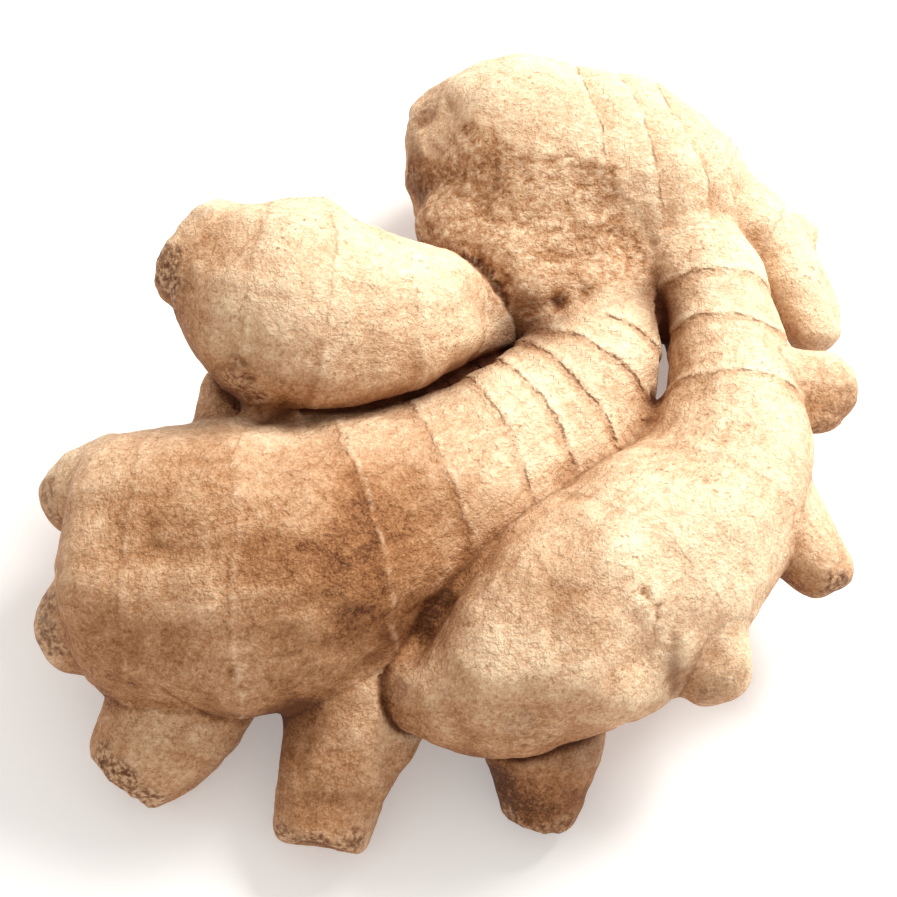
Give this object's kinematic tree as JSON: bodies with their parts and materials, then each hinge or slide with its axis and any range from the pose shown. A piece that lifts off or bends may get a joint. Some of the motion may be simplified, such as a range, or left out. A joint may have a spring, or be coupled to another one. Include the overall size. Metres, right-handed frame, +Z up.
{
  "type": "ginger root",
  "caption": "Hand of fresh ginger lying flat: a thick mother knob with knobbly fingers, short stubs and buds, crossed by raised growth rings.",
  "frame": {"origin": "middle of the standing box, at the height the root rests on", "axes": "+Z up from the surface the root lies on; the fingers and stubs point to -Y, the front, and the mother knob is at +Y; +X is to the right seen from the front"},
  "size_m": [0.1323, 0.1346, 0.056],
  "materials": {
    "skin": "matte"
  },
  "bodies": {
    "root": {"ginger_root": "skin"}
  },
  "joints": []
}
